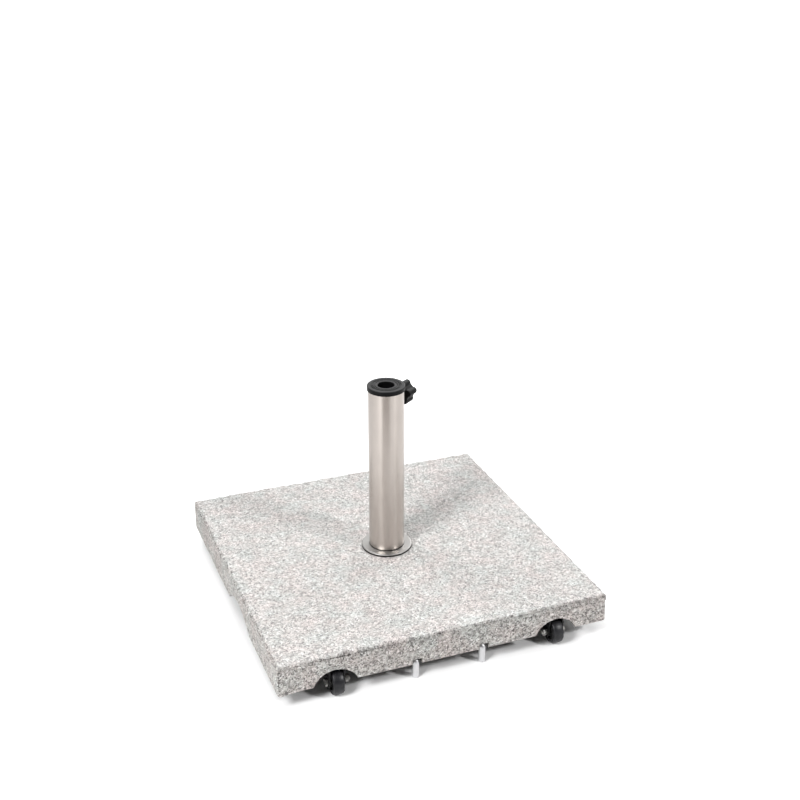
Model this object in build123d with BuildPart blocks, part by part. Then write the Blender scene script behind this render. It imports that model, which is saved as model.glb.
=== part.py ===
from build123d import *
import math
import os

# Parasol base: a square granite slab that stands on two wheels and two rubber feet, with a
# stainless upright tube for the parasol pole and a pull-out handle in grooves under the slab.
# Origin: on the ground under the tube's axis. +Z up, wheels at -Y, grip of the handle at +Y.

os.makedirs("parts", exist_ok=True)

# ---- Driving dimensions, in millimetres -------------------------------------------------

# Stone
slab_width = 500.0
slab_depth = 500.0
slab_thickness = 46.0
floor_gap = 25.0
slab_corner_radius = 4.0
slab_top_chamfer = 3.0
slab_bottom_chamfer = 2.5

# Upright tube and what holds it down
tube_wall = 1.5
tube_length = 268.5
end_plate_thickness = 8.0
flange_diameter = 78.0
flange_thickness = 4.0
flange_edge_radius = 1.8
fixing_bolt_diameter = 12.0
fixing_bolt_flats = 19.0
fixing_bolt_head = 7.5
fixing_bolt_spare = 4.0
fixing_washer_diameter = 50.0
fixing_washer_thickness = 3.0
lock_washer_diameter = 21.0
lock_washer_thickness = 2.0

# Cap and the three reducers, one for each size of pole
cap_overhang = 1.5
cap_plug_wall = 3.9
outer_sleeve_wall = 2.3
cap_plate_thickness = 3.0
cap_skirt = 7.0
cap_edge_radius = 1.2
sleeve_length = 58.0
outer_pole = 38.0
middle_pole = 32.0
inner_pole = 25.0
rim_width = 0.8
rim_height = 1.2
rim_chamfer = 0.6

# Clamp screw and star knob; the clamp points out of the tube at clamp_angle from +X
clamp_angle = 36.0
clamp_drop = 29.0
clamp_screw_diameter = 8.0
clamp_tip_gap = 0.5
clamp_boss_diameter = 15.0
clamp_boss_height = 2.6
knob_diameter = 36.0
knob_thickness = 20.0
knob_gap = 12.0
knob_lobes = 5
knob_lobe_radius = 5.3
knob_web_diameter = 27.0
knob_first_lobe = 96.0
knob_outer_fillet = 2.0
knob_inner_fillet = 1.2
knob_screw_depth = 12.0

# Wheels, their arches in the stone and their forks
wheel_diameter = 40.0
wheel_width = 16.0
wheel_crown = 1.2
tyre_shoulder_radius = 2.2
wheel_edge_inset = 82.0
wheel_setback = 15.0
wheel_offset = 4.0
tyre_thickness = 5.0
hub_recess = 3.0
hub_boss_diameter = 15.0
hub_rim_thickness = 2.5
bush_wall = 1.5
axle_diameter = 6.0
axle_head_flats = 10.0
axle_head_height = 4.0
axle_nut_height = 6.0
axle_tail = 1.5
axle_washer_diameter = 12.0
axle_washer_thickness = 1.1
axle_side_gap = 1.5
arch_chord = 65.0
arch_headroom = 7.5
seat_depth = 1.5
seat_lip = 6.0
fork_thickness = 2.5
fork_eye_radius = 8.0
fork_cheek_flare = 16.0
fork_tail = 36.0
fork_screw_first = 10.0
fork_screw_pitch = 18.0

# Pull-out handle, its grooves and its saddle clips
rod_diameter = 10.0
rod_spacing = 102.0
rod_offset = 3.0
rod_rise = 3.0
rod_front_setback = 8.0
peg_bend_radius = 6.0
grip_bend_radius = 13.0
grip_diameter = 18.0
grip_end_gap = 1.0
groove_width = 15.0
clip_width = 18.0
clip_thickness = 2.0
clip_ear = 18.0
clip_rear_inset = 85.0
clip_row_pitch = 105.0

# Recesses for the hands
hold_chord = 120.0
hold_rise = 21.0
hold_depth = 60.0
hold_centre_y = -40.0
grip_recess_chord = 140.0
grip_recess_rise = 22.0
grip_recess_depth = 60.0

# Rear feet
foot_diameter = 42.0
foot_taper = 2.0
foot_inset = 55.0
foot_counterbore_diameter = 14.0
foot_counterbore_depth = 12.0

# Screws in plastic plugs in the stone
small_screw_diameter = 4.0
small_screw_length = 20.0
fork_screw_diameter = 4.0
fork_screw_length = 12.0
foot_screw_diameter = 5.0
foot_screw_length = 32.0
screw_head_ratio = 2.0
screw_head_height = 2.5
screw_socket_depth = 1.4
plug_wall = 1.6

# Clearances
fixed_gap = 0.05
sliding_gap = 0.10
running_gap = 0.05
clear_gap = 0.4
bore_allowance = 0.4
bolt_hole_gap = 1.0
groove_headroom = 1.0
peg_ground_gap = 1.0
washer_recess_gap = 6.0

# ---- Values that follow from them -------------------------------------------------------

slab_top = floor_gap + slab_thickness
cap_bore = outer_pole + bore_allowance + 2 * outer_sleeve_wall
tube_inner_radius = cap_bore / 2 + cap_plug_wall + sliding_gap
tube_radius = tube_inner_radius + tube_wall
tube_diameter = 2 * tube_radius
tube_top = slab_top + tube_length
cap_top = tube_top + cap_plate_thickness
cap_radius = tube_radius + cap_overhang
fixing_ledge = (
    floor_gap + fixing_washer_thickness + lock_washer_thickness + fixing_bolt_head + bolt_hole_gap
)

clamp_z = cap_top - clamp_drop
clamp_outward = (
    math.cos(math.radians(clamp_angle)),
    math.sin(math.radians(clamp_angle)),
    0,
)
clamp_sideways = (-clamp_outward[1], clamp_outward[0], 0)
clamp_plane = Plane(origin=(0, 0, clamp_z), x_dir=clamp_sideways, z_dir=clamp_outward)
clamp_axis = Axis((0, 0, clamp_z), clamp_outward)
clamp_hole_radius = clamp_screw_diameter / 2 + bolt_hole_gap / 2
clamp_tip = (inner_pole + bore_allowance) / 2 + clamp_tip_gap
boss_face = tube_radius + clamp_boss_height
knob_face = tube_radius + knob_gap

wheel_radius = wheel_diameter / 2
arch_x = slab_width / 2 - wheel_edge_inset
wheel_x = {side: side * arch_x + wheel_offset for side in (-1, 1)}
wheel_y = -(slab_depth / 2 - wheel_setback)
reach = wheel_radius - wheel_y
hub_radius = wheel_radius - tyre_thickness
axle_radius = axle_diameter / 2
bush_radius = axle_radius + running_gap + bush_wall
cheek_inner = wheel_width / 2 + axle_side_gap
cheek_outer = cheek_inner + fork_thickness
arch_rise = wheel_diameter - floor_gap + arch_headroom
seat_z = floor_gap + arch_rise + seat_depth
fork_front = wheel_y - fork_eye_radius
fork_back = wheel_y + wheel_radius + fork_tail
fork_screw_y = wheel_y + wheel_radius + fork_screw_first
arch_depth = fork_back + seat_lip + slab_depth / 2

rod_radius = rod_diameter / 2
rod_left_x = rod_offset - rod_spacing / 2
rod_right_x = rod_offset + rod_spacing / 2
rod_z = floor_gap + rod_rise
rod_front_y = -(slab_depth / 2 - rod_front_setback)
grip_y = reach - grip_diameter / 2
grip_length = rod_spacing - 2 * (grip_bend_radius + grip_end_gap)
groove_depth = rod_rise + rod_radius + groove_headroom
clip_row_y = [
    slab_depth / 2 - clip_rear_inset,
    slab_depth / 2 - clip_rear_inset - clip_row_pitch,
]
clip_screw_offset = groove_width / 2 + clip_thickness + clip_ear / 2
clip_spots = [(x, y) for x in (rod_left_x, rod_right_x) for y in clip_row_y]
clip_screw_spots = [
    (x + end * clip_screw_offset, y) for x, y in clip_spots for end in (-1, 1)
]
foot_x = slab_width / 2 - foot_inset
foot_y = slab_depth / 2 - foot_inset


def arch_radius(chord, rise):
    """Radius of the circle that passes through the chord's ends and the top of the arch."""
    return (chord * chord / 4 + rise * rise) / (2 * rise)


def plug_radius(screw_diameter):
    return screw_diameter / 2 + plug_wall


def plug_length(screw_length):
    return screw_length - screw_head_height + 1


# ---- Stone ------------------------------------------------------------------------------

with BuildPart() as granite_slab:
    with BuildSketch(Plane.XY.offset(floor_gap)):
        RectangleRounded(slab_width, slab_depth, slab_corner_radius)
    extrude(amount=slab_thickness)
    chamfer(granite_slab.faces().sort_by(Axis.Z)[-1].edges(), slab_top_chamfer)
    chamfer(granite_slab.faces().sort_by(Axis.Z)[0].edges(), slab_bottom_chamfer)

    # Two wheel arches in the front edge, with a flat seat for the fork in each
    for side in (-1, 1):
        wheel_arch_radius = arch_radius(arch_chord, arch_rise)
        with BuildSketch(Plane.XZ.offset(slab_depth / 2)):
            with Locations((side * arch_x, floor_gap + arch_rise - wheel_arch_radius)):
                Circle(wheel_arch_radius)
        extrude(amount=-arch_depth, mode=Mode.SUBTRACT)
        seat_front = fork_front - clear_gap
        seat_back = fork_back + clear_gap
        with BuildSketch(Plane.XY.offset(floor_gap)):
            with Locations((wheel_x[side], (seat_front + seat_back) / 2)):
                Rectangle(2 * (cheek_outer + clear_gap), seat_back - seat_front)
        extrude(amount=seat_z - floor_gap, mode=Mode.SUBTRACT)
        with BuildSketch(Plane.XY.offset(seat_z)):
            for step in (0, 1):
                with Locations((wheel_x[side], fork_screw_y + step * fork_screw_pitch)):
                    Circle(plug_radius(fork_screw_diameter) + fixed_gap)
        extrude(amount=plug_length(fork_screw_length), mode=Mode.SUBTRACT)

    # A hand-hold in each side edge
    for side in (-1, 1):
        hold_radius = arch_radius(hold_chord, hold_rise)
        with BuildSketch(Plane.YZ.offset(side * slab_width / 2)):
            with Locations((hold_centre_y, floor_gap + hold_rise - hold_radius)):
                Circle(hold_radius)
        extrude(amount=-side * hold_depth, mode=Mode.SUBTRACT)

    # A recess for the grip in the back edge
    grip_recess_radius = arch_radius(grip_recess_chord, grip_recess_rise)
    with BuildSketch(Plane.XZ.offset(-slab_depth / 2)):
        with Locations((rod_offset, floor_gap + grip_recess_rise - grip_recess_radius)):
            Circle(grip_recess_radius)
    extrude(amount=grip_recess_depth, mode=Mode.SUBTRACT)

    # Grooves for the handle's rods, and plug holes for their clips
    with BuildSketch(Plane.XY.offset(floor_gap)):
        with Locations((rod_left_x, 0), (rod_right_x, 0)):
            Rectangle(groove_width, slab_depth)
    extrude(amount=groove_depth, mode=Mode.SUBTRACT)
    with BuildSketch(Plane.XY.offset(floor_gap)):
        with Locations(*clip_screw_spots):
            Circle(plug_radius(small_screw_diameter) + fixed_gap)
    extrude(amount=plug_length(small_screw_length), mode=Mode.SUBTRACT)

    # Plug holes for the rear feet
    with BuildSketch(Plane.XY.offset(floor_gap)):
        with Locations((-foot_x, foot_y), (foot_x, foot_y)):
            Circle(plug_radius(foot_screw_diameter) + fixed_gap)
    extrude(amount=plug_length(foot_screw_length) - foot_counterbore_depth, mode=Mode.SUBTRACT)

    # Hole for the bolt that holds the tube, with a recess under it for the washer and the head
    with BuildSketch(Plane.XY.offset(floor_gap)):
        Circle((fixing_bolt_diameter + 2 * bolt_hole_gap) / 2)
    extrude(amount=slab_thickness, mode=Mode.SUBTRACT)
    with BuildSketch(Plane.XY.offset(floor_gap)):
        Circle((fixing_washer_diameter + washer_recess_gap) / 2)
    extrude(amount=fixing_ledge - floor_gap, mode=Mode.SUBTRACT)
granite_slab.part.label = "granite_slab"
export_step(granite_slab.part, "parts/granite_slab.step")

# ---- Upright tube and its fixing --------------------------------------------------------

with BuildPart() as upright_tube:
    with BuildSketch(Plane.XY.offset(slab_top)):
        Circle(tube_radius)
        Circle(tube_inner_radius, mode=Mode.SUBTRACT)
    extrude(amount=tube_length)
    with BuildSketch(clamp_plane):
        Circle(clamp_boss_diameter / 2 + fixed_gap)
    extrude(amount=tube_diameter, mode=Mode.SUBTRACT)
upright_tube.part.label = "upright_tube"
export_step(upright_tube.part, "parts/upright_tube.step")

with BuildPart() as tube_end_plate:
    with BuildSketch(Plane.XY.offset(slab_top)):
        Circle(tube_inner_radius - fixed_gap)
        Circle(fixing_bolt_diameter / 2 + fixed_gap, mode=Mode.SUBTRACT)
    extrude(amount=end_plate_thickness)
tube_end_plate.part.label = "tube_end_plate"
export_step(tube_end_plate.part, "parts/tube_end_plate.step")

with BuildPart() as base_flange:
    with BuildSketch(Plane.XY.offset(slab_top)):
        Circle(flange_diameter / 2)
        Circle(tube_radius + clear_gap, mode=Mode.SUBTRACT)
    extrude(amount=flange_thickness)
    flange_top = base_flange.faces().sort_by(Axis.Z)[-1]
    fillet(flange_top.edges().sort_by(SortBy.LENGTH)[-1], flange_edge_radius)
base_flange.part.label = "base_flange"
export_step(base_flange.part, "parts/base_flange.step")

washer_bottom = fixing_ledge - fixing_washer_thickness
with BuildPart() as fixing_washer:
    with BuildSketch(Plane.XY.offset(washer_bottom)):
        Circle(fixing_washer_diameter / 2)
        Circle(fixing_bolt_diameter / 2 + clear_gap, mode=Mode.SUBTRACT)
    extrude(amount=fixing_washer_thickness)
fixing_washer.part.label = "fixing_washer"
export_step(fixing_washer.part, "parts/fixing_washer.step")

lock_washer_bottom = washer_bottom - lock_washer_thickness
with BuildPart() as fixing_lock_washer:
    with BuildSketch(Plane.XY.offset(lock_washer_bottom)):
        Circle(lock_washer_diameter / 2)
        Circle(fixing_bolt_diameter / 2 + clear_gap, mode=Mode.SUBTRACT)
    extrude(amount=lock_washer_thickness)
fixing_lock_washer.part.label = "fixing_lock_washer"
export_step(fixing_lock_washer.part, "parts/fixing_lock_washer.step")

fixing_bolt_top = slab_top + end_plate_thickness + fixing_bolt_spare
with BuildPart() as fixing_bolt:
    with BuildSketch(Plane.XY.offset(lock_washer_bottom)):
        RegularPolygon(fixing_bolt_flats / 2, 6, major_radius=False)
    extrude(amount=-fixing_bolt_head)
    with BuildSketch(Plane.XY.offset(lock_washer_bottom)):
        Circle(fixing_bolt_diameter / 2)
    extrude(amount=fixing_bolt_top - lock_washer_bottom)
    chamfer(fixing_bolt.faces().sort_by(Axis.Z)[-1].edges(), 1)
fixing_bolt.part.label = "fixing_bolt"
export_step(fixing_bolt.part, "parts/fixing_bolt.step")

# ---- Cap and reducers -------------------------------------------------------------------

plug_bottom = tube_top - sleeve_length
with BuildPart() as tube_cap:
    with BuildSketch(Plane.XY.offset(tube_top)):
        Circle(cap_radius)
    extrude(amount=cap_plate_thickness)
    fillet(tube_cap.faces().sort_by(Axis.Z)[-1].edges(), cap_edge_radius)
    with BuildSketch(Plane.XY.offset(cap_top - cap_skirt)):
        Circle(cap_radius)
        Circle(tube_radius + sliding_gap, mode=Mode.SUBTRACT)
    extrude(amount=cap_skirt - cap_plate_thickness)
    with BuildSketch(Plane.XY.offset(plug_bottom)):
        Circle(tube_inner_radius - sliding_gap)
    extrude(amount=sleeve_length)
    with BuildSketch(Plane.XY.offset(plug_bottom)):
        Circle(cap_bore / 2)
    extrude(amount=cap_top - plug_bottom, mode=Mode.SUBTRACT)
    with BuildSketch(Plane.XY.offset(cap_top - rim_height - fixed_gap)):
        Circle(cap_bore / 2 + rim_width + sliding_gap)
    extrude(amount=rim_height + fixed_gap, mode=Mode.SUBTRACT)
    cap_mouth = tube_cap.faces().sort_by(Axis.Z)[-1].inner_wires()[0]
    chamfer(cap_mouth.edges(), rim_chamfer)
    with BuildSketch(clamp_plane):
        Circle(clamp_hole_radius)
    extrude(amount=tube_diameter, mode=Mode.SUBTRACT)
tube_cap.part.label = "tube_cap"
export_step(tube_cap.part, "parts/tube_cap.step")

# Each reducer hangs by a thin rim in the one outside it, and its slot lets it lift past the
# tip of the clamp screw.
reducers = [
    ("reducer_outer", cap_bore, outer_pole + bore_allowance, True),
    ("reducer_middle", outer_pole + bore_allowance, middle_pole + bore_allowance, True),
    ("reducer_inner", middle_pole + bore_allowance, inner_pole + bore_allowance, False),
]
for node, host_bore, own_bore, holds_another in reducers:
    with BuildPart() as reducer:
        with BuildSketch(Plane.XY.offset(plug_bottom)):
            Circle(host_bore / 2 - sliding_gap)
        extrude(amount=cap_top - plug_bottom)
        with BuildSketch(Plane.XY.offset(cap_top - rim_height)):
            Circle(host_bore / 2 + rim_width)
        extrude(amount=rim_height)
        chamfer(reducer.faces().sort_by(Axis.Z)[-1].edges(), rim_chamfer)
        with BuildSketch(Plane.XY.offset(plug_bottom)):
            Circle(own_bore / 2)
        extrude(amount=cap_top - plug_bottom, mode=Mode.SUBTRACT)
        if holds_another:
            with BuildSketch(Plane.XY.offset(cap_top - rim_height - fixed_gap)):
                Circle(own_bore / 2 + rim_width + sliding_gap)
            extrude(amount=rim_height + fixed_gap, mode=Mode.SUBTRACT)
        reducer_mouth = reducer.faces().sort_by(Axis.Z)[-1].inner_wires()[0]
        chamfer(reducer_mouth.edges(), rim_chamfer)
        with BuildSketch(clamp_plane):
            Circle(clamp_hole_radius)
            with Locations((0, -sleeve_length / 2)):
                Rectangle(2 * clamp_hole_radius, sleeve_length)
        extrude(amount=tube_diameter, mode=Mode.SUBTRACT)
    reducer.part.label = node
    export_step(reducer.part, f"parts/{node}.step")

# ---- Clamp ------------------------------------------------------------------------------

with BuildPart() as clamp_boss:
    with BuildSketch(clamp_plane.offset(tube_inner_radius)):
        Circle(clamp_boss_diameter / 2)
        Circle(clamp_screw_diameter / 2 + running_gap, mode=Mode.SUBTRACT)
    extrude(amount=boss_face - tube_inner_radius)
clamp_boss.part.label = "clamp_boss"
export_step(clamp_boss.part, "parts/clamp_boss.step")

with BuildPart() as clamp_screw:
    with BuildSketch(clamp_plane.offset(clamp_tip)):
        Circle(clamp_screw_diameter / 2)
    extrude(amount=knob_face + knob_screw_depth - clamp_tip)
    chamfer(clamp_screw.faces().sort_by(clamp_axis)[0].edges(), 1)
clamp_screw.part.label = "clamp_screw"
export_step(clamp_screw.part, "parts/clamp_screw.step")

with BuildPart() as star_knob:
    with BuildSketch(clamp_plane.offset(knob_face)) as star_outline:
        Circle(knob_web_diameter / 2)
        lobe_circle = knob_diameter / 2 - knob_lobe_radius
        with PolarLocations(lobe_circle, knob_lobes, start_angle=knob_first_lobe):
            Circle(knob_lobe_radius)
        fillet(star_outline.vertices(), knob_lobe_radius / 2)
    extrude(amount=knob_thickness)
    fillet(star_knob.faces().sort_by(clamp_axis)[-1].edges(), knob_outer_fillet)
    fillet(star_knob.faces().sort_by(clamp_axis)[0].edges(), knob_inner_fillet)
    with BuildSketch(clamp_plane.offset(knob_face)):
        Circle(clamp_screw_diameter / 2 + running_gap)
    extrude(amount=knob_screw_depth + clear_gap, mode=Mode.SUBTRACT)
star_knob.part.label = "star_knob"
export_step(star_knob.part, "parts/star_knob.step")

# ---- Wheels -----------------------------------------------------------------------------

for side_name, side in (("left", -1), ("right", 1)):
    centre_x = wheel_x[side]
    wheel_plane = Plane(origin=(centre_x, wheel_y, wheel_radius), x_dir=(1, 0, 0), z_dir=(0, -1, 0))
    wheel_axis = Axis((centre_x, wheel_y, wheel_radius), (1, 0, 0))
    half_width = wheel_width / 2

    with BuildPart() as tyre:
        with BuildSketch(wheel_plane):
            with BuildLine():
                shoulder = wheel_radius - wheel_crown
                ThreePointArc(
                    (-half_width, shoulder),
                    (0, wheel_radius),
                    (half_width, shoulder),
                )
                Polyline(
                    (half_width, shoulder),
                    (half_width, hub_radius + fixed_gap),
                    (-half_width, hub_radius + fixed_gap),
                    (-half_width, shoulder),
                )
            make_face()
        revolve(axis=wheel_axis)
        tyre_faces = tyre.faces().sort_by(Axis.X)
        for tyre_side in (tyre_faces[0], tyre_faces[-1]):
            fillet(tyre_side.edges().sort_by(SortBy.LENGTH)[-1], tyre_shoulder_radius)
    tyre.part.label = f"wheel_{side_name}_tyre"
    export_step(tyre.part, f"parts/wheel_{side_name}_tyre.step")

    with BuildPart() as hub:
        with BuildSketch(Plane.YZ.offset(centre_x - half_width)):
            with Locations((wheel_y, wheel_radius)):
                Circle(hub_radius)
                Circle(bush_radius + fixed_gap, mode=Mode.SUBTRACT)
        extrude(amount=wheel_width)
        for face_x, inward in ((centre_x - half_width, 1), (centre_x + half_width, -1)):
            with BuildSketch(Plane.YZ.offset(face_x)):
                with Locations((wheel_y, wheel_radius)):
                    Circle(hub_radius - hub_rim_thickness)
                    Circle(hub_boss_diameter / 2, mode=Mode.SUBTRACT)
            extrude(amount=inward * hub_recess, mode=Mode.SUBTRACT)
    hub.part.label = f"wheel_{side_name}_hub"
    export_step(hub.part, f"parts/wheel_{side_name}_hub.step")

    with BuildPart() as bush:
        with BuildSketch(Plane.YZ.offset(centre_x - half_width)):
            with Locations((wheel_y, wheel_radius)):
                Circle(bush_radius)
                Circle(axle_radius + running_gap, mode=Mode.SUBTRACT)
        extrude(amount=wheel_width)
    bush.part.label = f"wheel_{side_name}_bush"
    export_step(bush.part, f"parts/wheel_{side_name}_bush.step")

    # U-shaped fork: a plate screwed to its seat in the stone, and a cheek on each side
    with BuildPart() as fork:
        with BuildSketch(Plane.XY.offset(seat_z - fork_thickness)):
            with Locations((centre_x, (fork_front + fork_back) / 2)):
                Rectangle(2 * cheek_outer, fork_back - fork_front)
        extrude(amount=fork_thickness)
        for cheek_side in (-1, 1):
            start_x = centre_x + cheek_side * cheek_inner
            with BuildSketch(Plane.YZ.offset(start_x)):
                with Locations((wheel_y, wheel_radius)):
                    Circle(fork_eye_radius)
                with BuildLine():
                    Polyline(
                        (wheel_y - fork_eye_radius, wheel_radius),
                        (wheel_y - fork_eye_radius, seat_z),
                        (wheel_y + fork_eye_radius + fork_cheek_flare, seat_z),
                        (wheel_y + fork_eye_radius, wheel_radius),
                        close=True,
                    )
                make_face()
            extrude(amount=cheek_side * fork_thickness)
        with BuildSketch(Plane.YZ.offset(centre_x - cheek_outer)):
            with Locations((wheel_y, wheel_radius)):
                Circle(axle_radius + fixed_gap)
        extrude(amount=2 * cheek_outer, mode=Mode.SUBTRACT)
        with BuildSketch(Plane.XY.offset(seat_z - fork_thickness)):
            for step in (0, 1):
                with Locations((centre_x, fork_screw_y + step * fork_screw_pitch)):
                    Circle(fork_screw_diameter / 2 + clear_gap)
        extrude(amount=fork_thickness, mode=Mode.SUBTRACT)
        fold_edges = fork.edges().filter_by(Axis.Y).group_by(Axis.Z)[-1]
        fillet(fold_edges, fork_thickness * 0.8)
    fork.part.label = f"wheel_{side_name}_fork"
    export_step(fork.part, f"parts/wheel_{side_name}_fork.step")

    # The axle's head is on the outer side of the base, and its nut on the inner side
    head_x = centre_x + side * cheek_outer
    with BuildPart() as axle_bolt:
        with BuildSketch(Plane.YZ.offset(head_x)):
            with Locations((wheel_y, wheel_radius)):
                RegularPolygon(axle_head_flats / 2, 6, major_radius=False)
        extrude(amount=side * axle_head_height)
        with BuildSketch(Plane.YZ.offset(head_x)):
            with Locations((wheel_y, wheel_radius)):
                Circle(axle_radius)
        extrude(amount=-side * (2 * cheek_outer + axle_nut_height + axle_tail))
    axle_bolt.part.label = f"wheel_{side_name}_axle_bolt"
    export_step(axle_bolt.part, f"parts/wheel_{side_name}_axle_bolt.step")

    nut_x = centre_x - side * cheek_outer
    with BuildPart() as axle_nut:
        with BuildSketch(Plane.YZ.offset(nut_x)):
            with Locations((wheel_y, wheel_radius)):
                RegularPolygon(axle_head_flats / 2, 6, major_radius=False)
                Circle(axle_radius + fixed_gap, mode=Mode.SUBTRACT)
        extrude(amount=-side * axle_nut_height)
    axle_nut.part.label = f"wheel_{side_name}_axle_nut"
    export_step(axle_nut.part, f"parts/wheel_{side_name}_axle_nut.step")

    with BuildPart() as axle_washers:
        for cheek_side in (-1, 1):
            with BuildSketch(Plane.YZ.offset(centre_x + cheek_side * cheek_inner)):
                with Locations((wheel_y, wheel_radius)):
                    Circle(axle_washer_diameter / 2)
                    Circle(axle_radius + fixed_gap, mode=Mode.SUBTRACT)
            extrude(amount=-cheek_side * axle_washer_thickness)
    axle_washers.part.label = f"wheel_{side_name}_axle_washers"
    export_step(axle_washers.part, f"parts/wheel_{side_name}_axle_washers.step")

# ---- Handle -----------------------------------------------------------------------------

with BuildPart() as handle_rod:
    with BuildLine() as handle_path:
        FilletPolyline(
            (rod_left_x, rod_front_y, peg_ground_gap),
            (rod_left_x, rod_front_y, rod_z),
            (rod_left_x, grip_y, rod_z),
            (rod_right_x, grip_y, rod_z),
            (rod_right_x, rod_front_y, rod_z),
            (rod_right_x, rod_front_y, peg_ground_gap),
            radius=[peg_bend_radius, grip_bend_radius, grip_bend_radius, peg_bend_radius],
        )
    with BuildSketch(Plane(origin=handle_path.line @ 0, z_dir=handle_path.line % 0)):
        Circle(rod_radius)
    sweep()
handle_rod.part.label = "handle_rod"
export_step(handle_rod.part, "parts/handle_rod.step")

with BuildPart() as handle_grip:
    with BuildSketch(Plane.YZ.offset(-grip_length / 2)):
        with Locations((grip_y, rod_z)):
            Circle(grip_diameter / 2)
    extrude(amount=grip_length)
    fillet(handle_grip.edges().filter_by(GeomType.CIRCLE), 2.5)
    with BuildSketch(Plane.YZ.offset(-grip_length / 2)):
        with Locations((grip_y, rod_z)):
            Circle(rod_radius + fixed_gap)
    extrude(amount=grip_length, mode=Mode.SUBTRACT)
handle_grip.part.label = "handle_grip"
export_step(handle_grip.part, "parts/handle_grip.step")

# Saddle clips: a flat ear each side of the groove and a shallow hump under the rod
hump_bottom = rod_z - rod_radius - clear_gap
hump_half = groove_width / 2
with BuildPart() as handle_clips:
    for clip_x, clip_y in clip_spots:
        with BuildSketch(Plane.XZ.offset(-clip_y - clip_width / 2)):
            with BuildLine():
                ear_end = hump_half + clip_thickness + clip_ear
                outer_half = hump_half + clip_thickness
                Polyline(
                    (clip_x - ear_end, floor_gap),
                    (clip_x - hump_half, floor_gap),
                    (clip_x - hump_half, hump_bottom),
                    (clip_x + hump_half, hump_bottom),
                    (clip_x + hump_half, floor_gap),
                    (clip_x + ear_end, floor_gap),
                    (clip_x + ear_end, floor_gap - clip_thickness),
                    (clip_x + outer_half, floor_gap - clip_thickness),
                    (clip_x + outer_half, hump_bottom - clip_thickness),
                    (clip_x - outer_half, hump_bottom - clip_thickness),
                    (clip_x - outer_half, floor_gap - clip_thickness),
                    (clip_x - ear_end, floor_gap - clip_thickness),
                    close=True,
                )
            make_face()
        extrude(amount=clip_width)
    with BuildSketch(Plane.XY.offset(floor_gap)):
        with Locations(*clip_screw_spots):
            Circle(small_screw_diameter / 2 + clear_gap)
    extrude(amount=-clip_thickness, mode=Mode.SUBTRACT)
handle_clips.part.label = "handle_clips"
export_step(handle_clips.part, "parts/handle_clips.step")

# ---- Rear feet --------------------------------------------------------------------------

for side_name, side in (("left", -1), ("right", 1)):
    with BuildPart() as rear_foot:
        with BuildSketch(Plane.XY):
            with Locations((side * foot_x, foot_y)):
                Circle(foot_diameter / 2 - foot_taper)
        with BuildSketch(Plane.XY.offset(floor_gap)):
            with Locations((side * foot_x, foot_y)):
                Circle(foot_diameter / 2)
        loft()
        fillet(rear_foot.faces().sort_by(Axis.Z)[0].edges(), 1.5)
        with BuildSketch(Plane.XY):
            with Locations((side * foot_x, foot_y)):
                Circle(foot_counterbore_diameter / 2)
        extrude(amount=foot_counterbore_depth, mode=Mode.SUBTRACT)
        with BuildSketch(Plane.XY):
            with Locations((side * foot_x, foot_y)):
                Circle(foot_screw_diameter / 2 + clear_gap)
        extrude(amount=floor_gap, mode=Mode.SUBTRACT)
    rear_foot.part.label = f"rear_foot_{side_name}"
    export_step(rear_foot.part, f"parts/rear_foot_{side_name}.step")

# ---- Screws and plugs -------------------------------------------------------------------

# Each set: node prefix, spots, height of the surface under the head, height where the stone
# starts, screw diameter, screw length. The heads face down and the plugs fill holes in the stone.
fork_spots = [
    (wheel_x[side], fork_screw_y + step * fork_screw_pitch)
    for side in (-1, 1)
    for step in (0, 1)
]
screw_sets = [
    (
        "fork",
        fork_spots,
        seat_z - fork_thickness,
        seat_z,
        fork_screw_diameter,
        fork_screw_length,
        plug_length(fork_screw_length),
    ),
    (
        "clip",
        clip_screw_spots,
        floor_gap - clip_thickness,
        floor_gap,
        small_screw_diameter,
        small_screw_length,
        plug_length(small_screw_length),
    ),
    (
        "foot",
        [(-foot_x, foot_y), (foot_x, foot_y)],
        foot_counterbore_depth,
        floor_gap,
        foot_screw_diameter,
        foot_screw_length,
        plug_length(foot_screw_length) - foot_counterbore_depth,
    ),
]
for kind, spots, seat_height, stone_height, screw_diameter, screw_length, plug_depth in screw_sets:
    with BuildPart() as screws:
        with BuildSketch(Plane.XY.offset(seat_height - screw_head_height)):
            with Locations(*spots):
                Circle(screw_diameter * screw_head_ratio / 2)
        extrude(amount=screw_head_height)
        fillet(screws.faces().group_by(Axis.Z)[0].edges(), screw_head_height * 0.5)
        with BuildSketch(Plane.XY.offset(seat_height)):
            with Locations(*spots):
                Circle(screw_diameter / 2)
        extrude(amount=screw_length - screw_head_height)
        with BuildSketch(Plane.XY.offset(seat_height - screw_head_height)):
            with Locations(*spots):
                RegularPolygon(screw_diameter * 0.35, 6)
        extrude(amount=screw_socket_depth, mode=Mode.SUBTRACT)
    screws.part.label = f"{kind}_screws"
    export_step(screws.part, f"parts/{kind}_screws.step")

    with BuildPart() as plugs:
        with BuildSketch(Plane.XY.offset(stone_height)):
            with Locations(*spots):
                Circle(plug_radius(screw_diameter))
                Circle(screw_diameter / 2 + fixed_gap, mode=Mode.SUBTRACT)
        extrude(amount=plug_depth)
    plugs.part.label = f"{kind}_plugs"
    export_step(plugs.part, f"parts/{kind}_plugs.step")
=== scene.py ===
import math
import random

import bmesh
import bpy
import numpy as np
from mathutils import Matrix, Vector, noise


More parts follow.
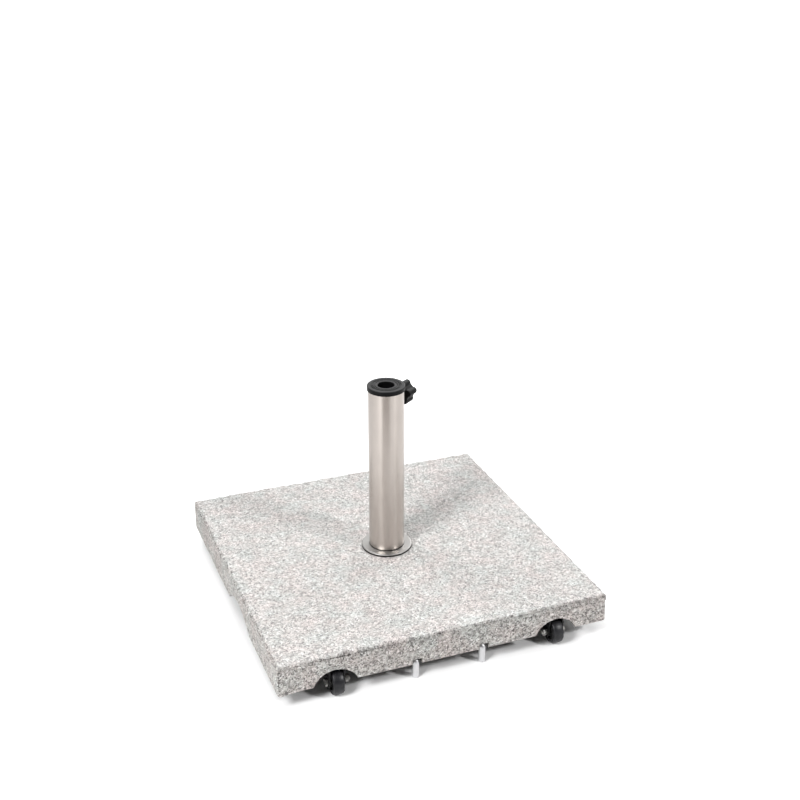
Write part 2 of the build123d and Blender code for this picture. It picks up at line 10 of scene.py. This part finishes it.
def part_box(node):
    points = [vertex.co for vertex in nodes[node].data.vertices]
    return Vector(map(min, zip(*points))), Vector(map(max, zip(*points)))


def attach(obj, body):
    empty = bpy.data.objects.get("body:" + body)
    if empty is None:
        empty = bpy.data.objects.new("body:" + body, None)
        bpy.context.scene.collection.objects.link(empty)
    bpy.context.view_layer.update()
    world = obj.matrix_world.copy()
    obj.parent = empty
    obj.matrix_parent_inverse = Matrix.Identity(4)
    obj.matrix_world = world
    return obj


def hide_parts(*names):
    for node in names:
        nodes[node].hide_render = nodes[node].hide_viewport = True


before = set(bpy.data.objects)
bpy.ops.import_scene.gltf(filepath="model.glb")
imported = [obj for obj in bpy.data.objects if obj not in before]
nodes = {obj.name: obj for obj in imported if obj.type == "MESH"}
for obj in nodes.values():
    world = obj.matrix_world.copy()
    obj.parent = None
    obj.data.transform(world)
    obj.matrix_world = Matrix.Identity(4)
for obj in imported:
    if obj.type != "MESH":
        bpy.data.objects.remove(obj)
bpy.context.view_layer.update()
MM = 0.001


# ---- Helpers ----------------------------------------------------------------------------

def new_object(name, mesh):
    obj = bpy.data.objects.new(name, mesh)
    bpy.context.scene.collection.objects.link(obj)
    return obj


class Graph:
    """A node material, built by naming its nodes and their inputs."""

    def __init__(self, name, **constants):
        self.material = bpy.data.materials.new(name)
        self.material.use_nodes = True
        self.tree = self.material.node_tree
        self.shader = self.tree.nodes["Principled BSDF"]
        for key, value in constants.items():
            self.shader.inputs[key.replace("_", " ")].default_value = value
        where = self.add("TexCoord").outputs
        self.place = where["Object"]
        self.normal = where["Normal"]

    def add(self, kind, inputs=None, **settings):
        node = self.tree.nodes.new("ShaderNode" + kind)
        for key, value in settings.items():
            setattr(node, key, value)
        for key, value in (inputs or {}).items():
            if isinstance(value, bpy.types.NodeSocket):
                self.tree.links.new(value, node.inputs[key])
            else:
                node.inputs[key].default_value = value
        return node

    def math(self, operation, a, b=0.0, clamp=False):
        return self.add("Math", {0: a, 1: b}, operation=operation, use_clamp=clamp).outputs[0]

    def scaled(self, x, y, z):
        return self.add("Mapping", {"Vector": self.place, "Scale": (x, y, z)}).outputs[0]

    def noise(self, scale, detail=3.0, rough=0.5, vector=None):
        node = self.add("TexNoise", {"Vector": vector or self.place, "Scale": scale,
                                     "Detail": detail, "Roughness": rough})
        return node.outputs["Fac"]

    def cells(self, scale, feature="F1", randomness=1.0, vector=None):
        return self.add("TexVoronoi", {"Vector": vector or self.place, "Scale": scale,
                                       "Randomness": randomness}, feature=feature)

    def remap(self, value, low, high, to_low=0.0, to_high=1.0):
        return self.add("MapRange", {0: value, 1: low, 2: high, 3: to_low, 4: to_high}).outputs[0]

    def ramp(self, value, stops, interpolation="LINEAR"):
        node = self.add("ValToRGB", {0: value})
        ramp = node.color_ramp
        ramp.interpolation = interpolation
        while len(ramp.elements) < len(stops):
            ramp.elements.new(0.5)
        for element, (position, color) in zip(ramp.elements, stops):
            element.position = position
            element.color = (*color, 1.0)
        return node.outputs[0]

    def mix(self, factor, a, b, blend="MIX"):
        node = self.add("Mix", {0: factor, 6: a, 7: b}, data_type="RGBA", blend_type=blend)
        return node.outputs[2]

    def bump(self, height, strength, distance, normal=None):
        inputs = {"Height": height, "Strength": strength, "Distance": distance}
        if normal:
            inputs["Normal"] = normal
        return self.add("Bump", inputs).outputs[0]

    def set(self, **links):
        for key, socket in links.items():
            self.tree.links.new(socket, self.shader.inputs[key.replace("_", " ")])
        return self.material


def rgba(r, g, b):
    return (r, g, b, 1.0)


# ---- Materials --------------------------------------------------------------------------

def granite_material():
    g = Graph("granite", Specular_IOR_Level=0.3)
    warp = g.add("TexNoise", {"Vector": g.place, "Scale": 260.0, "Detail": 2.0}).outputs["Color"]
    moved = g.add("VectorMath", {0: warp, 1: (0.0016, 0.0016, 0.0016)}, operation="MULTIPLY")
    at = g.add("VectorMath", {0: g.place, 1: moved.outputs[0]}, operation="ADD").outputs[0]
    grains = g.cells(520.0, vector=at)
    pick = g.add("SeparateColor", {0: grains.outputs["Color"]})
    colour = g.ramp(pick.outputs[0], [
        (0.00, (0.27, 0.262, 0.255)), (0.12, (0.40, 0.388, 0.38)), (0.35, (0.56, 0.545, 0.53)),
        (0.60, (0.66, 0.645, 0.625)), (0.85, (0.78, 0.77, 0.75)), (1.00, (0.88, 0.87, 0.86))])
    patches = g.cells(230.0, vector=at)
    patch_pick = g.add("SeparateColor", {0: patches.outputs["Color"]})
    patch = g.ramp(patch_pick.outputs[1], [
        (0.0, (0.78, 0.775, 0.77)), (0.3, (0.98, 0.96, 0.945)), (0.7, (1.0, 1.0, 0.995)),
        (1.0, (1.12, 1.115, 1.11))])
    colour = g.mix(0.75, colour, patch, "MULTIPLY")
    split = g.add("Attribute", attribute_name="split").outputs["Fac"]
    sawn = g.add("Attribute", attribute_name="sawn").outputs["Fac"]
    chip_wear_and_shade = g.add("Attribute", attribute_name="chip_wear_and_shade").outputs["Fac"]
    arris_highlight = g.add("Attribute", attribute_name="arris_highlight").outputs["Fac"]
    # Painted shade: the split front and back and the sawn ends are made darker and more contrasty here,
    # and darker again below, for how the light falls on those sides.
    painted_side_shade = g.math("ADD", g.math("MULTIPLY", split, 0.55), g.math("MULTIPLY", sawn, 0.45))
    colour = g.add("Gamma", {0: colour, 1: g.math("ADD", painted_side_shade, 1.0)}).outputs[0]
    speck = g.remap(g.noise(1500.0, 3.0, 0.7), 0.25, 0.75, 0.84, 1.13)
    cloud = g.remap(g.noise(16.0, 4.0, 0.6), 0.3, 0.7, 0.95, 1.04)
    shade = g.math("MULTIPLY", speck, cloud)
    blush = g.noise(27.0, 3.0, 0.6)
    cast = g.mix(g.remap(blush, 0.35, 0.65), rgba(0.962, 1.0, 1.005), rgba(1.03, 0.98, 0.985))
    # Painted shade: the underside and the inner walls of the recesses are darkened to 0.22 below, so
    # that little light bounces onto the floor under the slab and it stays in deep shadow.
    spot = g.add("SeparateXYZ", {0: g.place}).outputs
    facing = g.add("SeparateXYZ", {0: g.normal}).outputs[2]
    reach = g.math("MAXIMUM", g.math("ABSOLUTE", spot[0]), g.math("ABSOLUTE", spot[1]))
    inner = g.math("MULTIPLY", g.remap(reach, 0.2445, 0.2485, 1.0, 0.0),
                   g.remap(facing, 0.2, 0.5, 1.0, 0.0))
    under = g.math("MAXIMUM", inner, g.remap(facing, -0.95, -0.85, 1.0, 0.0))
    # Tones: split faces 0.83 and sawn ends 0.95 as painted shade; chipped top edges 0.80, partly wear
    # and partly painted shade in the pits; the bottom arris 1.2 as a painted highlight; the underside
    # and recess walls 0.22 as painted shade.
    for factor, tone in ((split, 0.83), (sawn, 0.95), (chip_wear_and_shade, 0.80), (arris_highlight, 1.2), (under, 0.22)):
        shade = g.math("MULTIPLY", shade, g.remap(factor, 0.0, 1.0, 1.0, tone))
    tint = g.add("CombineColor", {0: shade, 1: shade, 2: shade}).outputs[0]
    colour = g.mix(1.0, g.mix(1.0, colour, tint, "MULTIPLY"), cast, "MULTIPLY")
    relief = g.noise(380.0, 5.0, 0.62)
    strength = g.remap(sawn, 0.0, 1.0, 0.55, 0.15)
    normal = g.bump(relief, strength, 0.8 * MM)
    normal = g.bump(grains.outputs["Distance"], 0.2, 0.3 * MM, normal)
    rough = g.remap(pick.outputs[2], 0.0, 1.0, 0.55, 0.85)
    return g.set(Base_Color=colour, Roughness=rough, Normal=normal)


def steel_material(name, colour, rough, lines, spread=0.06, lines_strength=0.12, aniso=0.0,
                   joints=()):
    """Ground metal: lines gives how fast its fine streaks change along x, y and z, and joints the
    heights between which painted shade darkens it towards the joint with its neighbour, for the shadow
    in the gap there."""
    g = Graph(name, Metallic=1.0, Anisotropic=aniso, Anisotropic_Rotation=0.25)
    streaks = g.noise(1.0, 4.0, 0.7, g.scaled(*lines))
    smudge = g.noise(38.0, 5.0, 0.65)
    low, high = rough - spread, rough + spread
    level = g.remap(g.math("ADD", g.math("MULTIPLY", streaks, 0.6),
                           g.math("MULTIPLY", smudge, 0.4)), 0.3, 0.7, low, high)
    dim = tuple(c * 0.90 for c in colour)
    tone = g.mix(g.remap(smudge, 0.3, 0.7), rgba(*dim), rgba(*colour))
    height = g.add("SeparateXYZ", {0: g.place}).outputs[2]
    # Painted shade: towards each joint the colour goes to near black, for the shadow in the gap between
    # the parts.
    for shade_start, shade_full in joints:
        joint_shade = g.remap(height, shade_start, shade_full)
        tone = g.mix(joint_shade, tone, rgba(0.05, 0.048, 0.045))
    normal = g.bump(streaks, lines_strength, 0.05 * MM)
    if aniso:
        g.set(Tangent=g.add("Tangent", direction_type="RADIAL", axis="Z").outputs[0])
    return g.set(Base_Color=tone, Roughness=level, Normal=normal)


def moulded_material(name, dark, light, rough, grain=2600.0, depth=0.05, dust=0.12,
                     specular=0.45, top_dust_and_sheen=None, gaps=()):
    """Moulded plastic or rubber: a fine spark-eroded grain, and a little dust in its hollows.
    The colour given for faces turned up lightens them, partly as dust and partly as a painted sheen for
    the light they catch from above; gaps are the radii at which rings meet, where painted shade draws
    thin dark lines."""
    g = Graph(name, Specular_IOR_Level=specular)
    mottle = g.noise(90.0, 4.0, 0.6)
    base = g.mix(g.remap(mottle, 0.3, 0.7), rgba(*dark), rgba(*light))
    powder = g.remap(g.noise(420.0, 6.0, 0.75), 0.56, 0.75, 0.0, dust)
    colour = g.mix(powder, base, rgba(0.32, 0.31, 0.29))
    # Faces turned up are lightened: partly dust, partly a painted sheen for the light from above.
    if top_dust_and_sheen:
        facing = g.add("SeparateXYZ", {0: g.normal}).outputs[2]
        colour = g.mix(g.remap(facing, 0.2, 0.8), colour, rgba(*top_dust_and_sheen))
    # Painted shade: a thin near-black line at each radius where rings meet, for the shadow in the gaps
    # between them.
    spot = g.add("SeparateXYZ", {0: g.place}).outputs
    radius = g.math("SQRT", g.math("ADD", g.math("MULTIPLY", spot[0], spot[0]),
                                   g.math("MULTIPLY", spot[1], spot[1])))
    for gap in gaps:
        away = g.math("ABSOLUTE", g.math("SUBTRACT", radius, gap))
        colour = g.mix(g.remap(away, 0.35 * MM, 0.95 * MM), rgba(0.001, 0.001, 0.001), colour)
    texture = g.noise(grain, 2.0, 0.5)
    level = g.remap(mottle, 0.3, 0.7, rough - 0.05, rough + 0.07)
    return g.set(Base_Color=colour, Roughness=level,
                 Normal=g.bump(texture, 0.35, depth * MM))


granite = granite_material()
stone_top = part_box("granite_slab")[1].z
flange_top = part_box("base_flange")[1].z
satin_steel = steel_material("satin_steel", (0.61, 0.555, 0.515), 0.235, (6, 6, 2600), 0.03,
                             aniso=0.90, lines_strength=0.06,
                             joints=[(flange_top + 2.2 * MM, flange_top + 0.8 * MM)])
polished_steel = steel_material("polished_steel", (0.50, 0.49, 0.475), 0.50, (70, 70, 70), 0.06,
                                0.04, joints=[(stone_top + 3.2 * MM, stone_top + 2.0 * MM)])
zinc_steel = steel_material("zinc_steel", (0.70, 0.69, 0.66), 0.33, (240, 240, 240), 0.08, 0.2)
black_steel = moulded_material("black_steel", (0.006, 0.006, 0.006), (0.010, 0.010, 0.010), 0.38,
                               1900.0, 0.04, 0.05, specular=0.25)
handle_steel = steel_material("handle_steel", (0.80, 0.80, 0.81), 0.42, (900, 12, 900), 0.06, 0.1)
black_plastic = moulded_material("black_plastic", (0.003, 0.003, 0.003), (0.005, 0.005, 0.006),
                                 0.36, dust=0.03, specular=0.12, top_dust_and_sheen=(0.030, 0.030, 0.031))
rims = [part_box(f"reducer_{size}")[1].x for size in ("outer", "middle", "inner")]
cap_plastic = moulded_material("cap_plastic", (0.003, 0.003, 0.003), (0.005, 0.005, 0.006), 0.36,
                               dust=0.03, specular=0.12, top_dust_and_sheen=(0.046, 0.046, 0.047), gaps=rims)
wheel_rubber = moulded_material("wheel_rubber", (0.007, 0.007, 0.009), (0.012, 0.012, 0.015), 0.40,
                                1500.0, 0.08, 0.12)
wheel_plastic = moulded_material("wheel_plastic", (0.010, 0.010, 0.011), (0.018, 0.018, 0.019), 0.40)
grip_rubber = moulded_material("grip_rubber", (0.020, 0.020, 0.021), (0.034, 0.034, 0.035), 0.68,
                               900.0, 0.12, 0.16)
foot_rubber = moulded_material("foot_rubber", (0.022, 0.022, 0.022), (0.040, 0.040, 0.040), 0.70,
                               1100.0, 0.1, 0.25)
plug_plastic = moulded_material("plug_plastic", (0.42, 0.42, 0.40), (0.50, 0.50, 0.48), 0.5)

finishes = {
    "upright_tube": satin_steel, "clamp_boss": satin_steel, "base_flange": polished_steel,
    "tube_end_plate": zinc_steel, "fixing_bolt": zinc_steel, "fixing_washer": zinc_steel,
    "fixing_lock_washer": zinc_steel, "clamp_screw": zinc_steel, "fork_screws": zinc_steel,
    "clip_screws": zinc_steel, "foot_screws": zinc_steel, "handle_clips": zinc_steel,
    "handle_rod": handle_steel, "handle_grip": grip_rubber, "tube_cap": cap_plastic,
    "reducer_outer": cap_plastic, "reducer_middle": cap_plastic,
    "reducer_inner": cap_plastic, "star_knob": black_plastic,
    "rear_foot_left": foot_rubber, "rear_foot_right": foot_rubber,
    "fork_plugs": plug_plastic, "clip_plugs": plug_plastic, "foot_plugs": plug_plastic,
}
for side in ("left", "right"):
    finishes.update({
        f"wheel_{side}_tyre": wheel_rubber, f"wheel_{side}_hub": wheel_plastic,
        f"wheel_{side}_bush": plug_plastic, f"wheel_{side}_fork": black_steel,
        f"wheel_{side}_axle_bolt": zinc_steel, f"wheel_{side}_axle_nut": zinc_steel,
        f"wheel_{side}_axle_washers": zinc_steel})
for name, finish in finishes.items():
    for slot in nodes[name].material_slots:
        slot.material = finish


# ---- Stone ------------------------------------------------------------------------------

def cut_along(bm, faces, axis, places):
    """Cuts the faces at each place along an axis, from the lowest place to the highest."""
    normal = Vector([1.0 if i == axis else 0.0 for i in range(3)])
    left = list(faces)
    for place in places:
        crossing = [f for f in left if max(v.co[axis] for v in f.verts) > place + 1e-6]
        if not crossing:
            break
        edges = {e for f in crossing for e in f.edges}
        verts = {v for f in crossing for v in f.verts}
        result = bmesh.ops.bisect_plane(bm, geom=[*verts, *edges, *crossing], dist=1e-6,
                                        plane_co=normal * place, plane_no=normal)
        left = [f for f in result["geom"] if isinstance(f, bmesh.types.BMFace)]


def stone():
    low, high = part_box("granite_slab")
    mesh = nodes["granite_slab"].data.copy()
    bm = bmesh.new()
    bm.from_mesh(mesh)
    bmesh.ops.remove_doubles(bm, verts=bm.verts, dist=1e-6)
    bmesh.ops.dissolve_limit(bm, angle_limit=math.radians(0.5), verts=bm.verts, edges=bm.edges)
    step = 2.6 * MM
    edge_steps = [1.0 * MM, 2.0 * MM, 3.1 * MM, 4.4 * MM, 5.8 * MM]
    for axis in (0, 1, 2):
        inner = np.linspace(low[axis] + 7.5 * MM, high[axis] - 7.5 * MM,
                            max(2, round((high[axis] - low[axis] - 15 * MM) / step)))
        places = [low[axis] + s for s in edge_steps] + list(inner)
        places += [high[axis] - s for s in reversed(edge_steps)]
        skin = [f for f in bm.faces if f.normal.z > 0.3 or (
            abs(f.normal.z) < 0.9 and (
                max(abs(v.co.x) for v in f.verts) > high.x - 6 * MM
                or max(v.co.y for v in f.verts) > high.y - 6 * MM
                or min(v.co.y for v in f.verts) < low.y + 6 * MM))]
        cut_along(bm, skin, axis, places)
    bmesh.ops.triangulate(bm, faces=[f for f in bm.faces if len(f.verts) > 4])
    for f in bm.faces:
        f.smooth = True
    bm.to_mesh(mesh)
    bm.free()
    return mesh


def chip_spheres(low, high):
    """Balls that are scooped out of the top arrises: where each one is, and its radius."""
    rng = random.Random(7)
    bevel = 3.0 * MM / math.sqrt(2)
    edges = {
        "front": (Vector((low.x, low.y, high.z)), Vector((1, 0, 0)), Vector((0, -1, 0)), 150,
                  (6, 26), (0.2, 1.7)),
        "back": (Vector((low.x, high.y, high.z)), Vector((1, 0, 0)), Vector((0, 1, 0)), 120,
                 (6, 22), (0.2, 1.4)),
        "left": (Vector((low.x, low.y, high.z)), Vector((0, 1, 0)), Vector((-1, 0, 0)), 190,
                 (5, 13), (0.5, 1.9)),
        "right": (Vector((high.x, low.y, high.z)), Vector((0, 1, 0)), Vector((1, 0, 0)), 150,
                  (5, 15), (0.3, 1.5)),
    }
    balls = []
    for corner, along, outward, count, radii, depths in edges.values():
        for _ in range(count):
            t = rng.uniform(0.0, 0.5)
            radius = rng.uniform(*radii) * MM
            depth = rng.uniform(*depths) * rng.uniform(0.4, 1.0) * MM
            tilt = rng.uniform(-0.45, 0.45)
            u = (outward * (1 + tilt) + Vector((0, 0, 1 - tilt)) + along * rng.uniform(-0.3, 0.3))
            u.normalize()
            balls.append((corner + along * t + u * (radius - bevel - depth), radius))
    big = [(0.072, 30, 4.2), (0.098, 24, 4.8), (0.126, 28, 4.0), (0.160, 22, 2.8), (0.205, 30, 2.0),
           (0.262, 18, 1.5), (0.318, 30, 2.0), (0.385, 22, 1.4), (0.452, 26, 1.8)]
    corner, along, outward = edges["front"][:3]
    for t, radius, depth in big:
        u = (outward + Vector((0, 0, 0.8))).normalized()
        balls.append((corner + along * t + u * (radius - 2.1 - depth) * MM, radius * MM))
    for x in (low.x, high.x):
        for y in (low.y, high.y):
            for _ in range(9):
                out = Vector((math.copysign(1, x), math.copysign(1, y), rng.uniform(-0.2, 0.9)))
                radius = rng.uniform(5, 12) * MM
                at = Vector((x, y, high.z - rng.uniform(0, 30) * MM))
                balls.append((at + out.normalized() * (radius - rng.uniform(1.9, 3.2) * MM), radius))
    return balls


def roughen(mesh):
    """Gives the sawn faces, the flamed top and the split front and back their own relief."""
    low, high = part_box("granite_slab")
    count = len(mesh.vertices)
    co = np.empty(count * 3)
    mesh.vertices.foreach_get("co", co)
    co = co.reshape(-1, 3)
    normals = np.empty(count * 3)
    mesh.vertices.foreach_get("normal", normals)
    normals = normals.reshape(-1, 3)
    start = co.copy()
    inset = np.minimum.reduce([co[:, 0] - low.x, high.x - co[:, 0],
                               co[:, 1] - low.y, high.y - co[:, 1]])
    outer = inset < 6 * MM
    top = np.clip((normals[:, 2] - 0.3) / 0.5, 0, 1) * (co[:, 2] > high.z - 4 * MM)
    split = np.clip((np.abs(normals[:, 1]) - 0.3) / 0.5, 0, 1) * outer
    sawn = np.clip((np.abs(normals[:, 0]) - 0.3) / 0.5, 0, 1) * outer
    up = co[:, 2] - low.z
    down = np.clip((up - 2.5 * MM) / (7 * MM), 0, 1)
    # The bottom chamfer of the sides, which the granite material lightens as a painted highlight of the
    # light thrown up by the floor.
    arris_highlight = outer * (up < 2.7 * MM) * (normals[:, 2] > -0.95) * (normals[:, 2] < -0.2)
    for k in np.nonzero(top + split + sawn > 0)[0]:
        p = Vector(start[k])
        wide = noise.fractal(p * 55.0, 1.0, 2.0, 3, noise_basis="PERLIN_ORIGINAL")
        fine = noise.noise(p * 230.0) + 0.6 * noise.noise(p * 410.0)
        lift = top[k] * (0.10 * wide + 0.16 * fine - 0.22)
        lift += split[k] * down[k] * (0.75 * wide + 0.34 * fine - 0.80)
        lift += sawn[k] * down[k] * (0.16 * wide + 0.05 * fine - 0.16)
        co[k] += normals[k] * min(lift, 0.0) * MM
    drop = np.clip((low.x + 34 * MM - co[:, 0]) / (34 * MM), 0, 1)
    drop = drop * drop * (3 - 2 * drop) * np.interp(co[:, 1], [low.y, high.y], [3.0, 4.5]) * MM
    co[:, 2] -= drop * np.clip((high.z - 20 * MM - co[:, 2]) / (26 * MM), 0, 1)
    for centre, radius in chip_spheres(low, high):
        offset = co - np.array(centre)
        distance = np.linalg.norm(offset, axis=1)
        inside = distance < radius
        co[inside] = np.array(centre) + offset[inside] * (radius / distance[inside])[:, None]
    mesh.vertices.foreach_set("co", co.ravel())
    # How deep the top edges are chipped: the granite material darkens these chips, partly as wear and
    # partly as painted shade in the pits.
    chip_wear_and_shade = np.clip(np.linalg.norm(co - start, axis=1) / (2.0 * MM), 0, 1) * (co[:, 2] > high.z - 12 * MM)
    for name, values in (("split", split), ("sawn", sawn), ("chip_wear_and_shade", chip_wear_and_shade), ("arris_highlight", arris_highlight)):
        layer = mesh.attributes.new(name, "FLOAT", "POINT")
        layer.data.foreach_set("value", values.astype(np.float32))
    mesh.update()


stone_mesh = stone()
roughen(stone_mesh)
slab = new_object("granite_stone", stone_mesh)
stone_mesh.materials.clear()
stone_mesh.materials.append(granite)
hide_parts("granite_slab")
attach(slab, "base")


# ---- Floor, light and camera ------------------------------------------------------------

def plane(name, size, at, turn=(0, 0, 0)):
    mesh = bpy.data.meshes.new(name)
    x, y = size[0] / 2, size[1] / 2
    mesh.from_pydata([(-x, -y, 0), (x, -y, 0), (x, y, 0), (-x, y, 0)], [], [(0, 1, 2, 3)])
    obj = new_object(name, mesh)
    obj.location = at
    obj.rotation_euler = turn
    return obj


floor_paint = Graph("floor_paint", Base_Color=rgba(0.95, 0.95, 0.95), Roughness=0.9)
floor = plane("floor", (80, 80), (0, 0, -0.0002))
floor.data.materials.append(floor_paint.material)


def seen_only_by(obj, ray):
    for kind in ("camera", "diffuse", "glossy", "transmission", "volume_scatter", "shadow"):
        setattr(obj, "visible_" + kind, kind == ray)


# White paper beyond the lit floor, and above it, that lights nothing. Over the floor it adds painted
# light to what is under it, from the slab's edges outwards, which lifts the slab's shadows on the floor
# outside its footprint.
def paper_material(name, add_to_floor):
    glow = bpy.data.materials.new(name)
    glow.use_nodes = True
    tree = glow.node_tree
    tree.nodes.clear()

    def node(kind, inputs=None, **settings):
        made = tree.nodes.new("ShaderNode" + kind)
        for key, value in settings.items():
            setattr(made, key, value)
        for key, value in (inputs or {}).items():
            if isinstance(value, bpy.types.NodeSocket):
                tree.links.new(value, made.inputs[key])
            else:
                made.inputs[key].default_value = value
        return made.outputs[0] if made.outputs else None

    shader = node("Emission", {"Strength": 1.05})
    if add_to_floor:
        place = tree.nodes.new("ShaderNodeTexCoord").outputs["Object"]
        size = node("VectorMath", {0: place}, operation="ABSOLUTE")
        parts = tree.nodes.new("ShaderNodeSeparateXYZ")
        tree.links.new(size, parts.inputs[0])
        reach = node("Math", {0: parts.outputs[0], 1: parts.outputs[1]}, operation="MAXIMUM")
        # Painted light: from the slab's edges outwards the glow rises, washing out its shadows on the
        # floor.
        near = node("MapRange", {0: reach, 1: 0.238, 2: 0.285, 3: 0.0, 4: 0.45})
        far = node("MapRange", {0: reach, 1: 0.55, 2: 1.1, 3: 0.0, 4: 0.6})
        shader = node("Emission", {"Strength": node("Math", {0: near, 1: far})})
        shader = node("AddShader", {0: node("BsdfTransparent"), 1: shader})
    node("OutputMaterial", {0: shader})
    return glow


paper_floor = plane("paper_floor", (120, 120), (0, 0, 0.0005))
paper_floor.data.materials.append(paper_material("paper_floor", True))
dome_mesh = bpy.data.meshes.new("paper_dome")
bm = bmesh.new()
bmesh.ops.create_uvsphere(bm, u_segments=48, v_segments=24, radius=58.0)
bm.to_mesh(dome_mesh)
bm.free()
paper_dome = new_object("paper_dome", dome_mesh)
paper_dome.data.materials.append(paper_material("paper_dome", False))
for obj in (paper_floor, paper_dome):
    seen_only_by(obj, "camera")

# The dark room in front of the paper, which only the metal and the plastic reflect
dark = Graph("dark_room", Roughness=1.0)
along = dark.add("SeparateXYZ", {0: dark.place}).outputs[1]
fade = dark.remap(along, 0.58, 0.66)
dark.set(Base_Color=dark.mix(fade, rgba(0.20, 0.17, 0.15), rgba(0.80, 0.79, 0.78)))
room = plane("dark_room", (0.80, 1.36), (-0.460, -1.228, 0.001), (0, 0, math.radians(-20.5)))
room.data.materials.append(dark.material)
seen_only_by(room, "glossy")


# A pale wall behind, that glosses the black plastic and the flange
wall_paint = Graph("pale_wall", Base_Color=rgba(0, 0, 0), Emission_Color=rgba(1, 1, 1),
                   Emission_Strength=0.6)
wall = plane("pale_wall", (6.0, 2.6), (1.05, 2.81, 1.3), (math.radians(90), 0, math.radians(-20.5)))
wall.data.materials.append(wall_paint.material)
seen_only_by(wall, "glossy")


def soft_light(name, at, size, power, target=(0, 0, 0.05), colour=(1, 1, 1)):
    data = bpy.data.lights.new(name, "AREA")
    data.shape = "RECTANGLE"
    data.size, data.size_y = size
    data.energy = power
    data.color = colour
    obj = bpy.data.objects.new(name, data)
    bpy.context.scene.collection.objects.link(obj)
    obj.location = at
    aim = Vector(target) - Vector(at)
    obj.rotation_euler = aim.to_track_quat("-Z", "Y").to_euler()
    return obj


LIGHTS = {
    "back_left": ((-0.65, 1.04, 1.85), (0.8, 0.8), 12.0),
    "left_key": ((-1.45, -0.94, 1.45), (0.6, 0.6), 41.0),
    "right_key": ((1.10, -1.36, 1.2), (0.25, 0.25), 18.0),
    "right_bank": ((2.0, 0.2, 1.0), (1.4, 1.0), 6.0),
    "back_right": ((1.5, 1.3, 1.2), (1.2, 1.0), 20.0),
    "back": ((0.3, 1.9, 1.3), (1.6, 0.8), 4.0),
}
for name, (at, size, power) in LIGHTS.items():
    soft_light(name, at, size, power)

world = bpy.data.worlds.new("studio")
bpy.context.scene.world = world
world.use_nodes = True
world.node_tree.nodes["Background"].inputs[0].default_value = rgba(1, 1, 1)
world.node_tree.nodes["Background"].inputs[1].default_value = 0.06

camera = bpy.data.cameras.new("camera")
camera.lens = 55.95
camera.sensor_width = 36.0
camera_object = bpy.data.objects.new("camera", camera)
bpy.context.scene.collection.objects.link(camera_object)
camera_object.location = (-0.5898, -1.5784, 1.0676)
camera_object.rotation_euler = (math.radians(66.012), 0.0, math.radians(-21.194))
bpy.context.scene.camera = camera_object

view = bpy.context.scene.view_settings
view.view_transform = "Standard"
view.exposure = 0.0
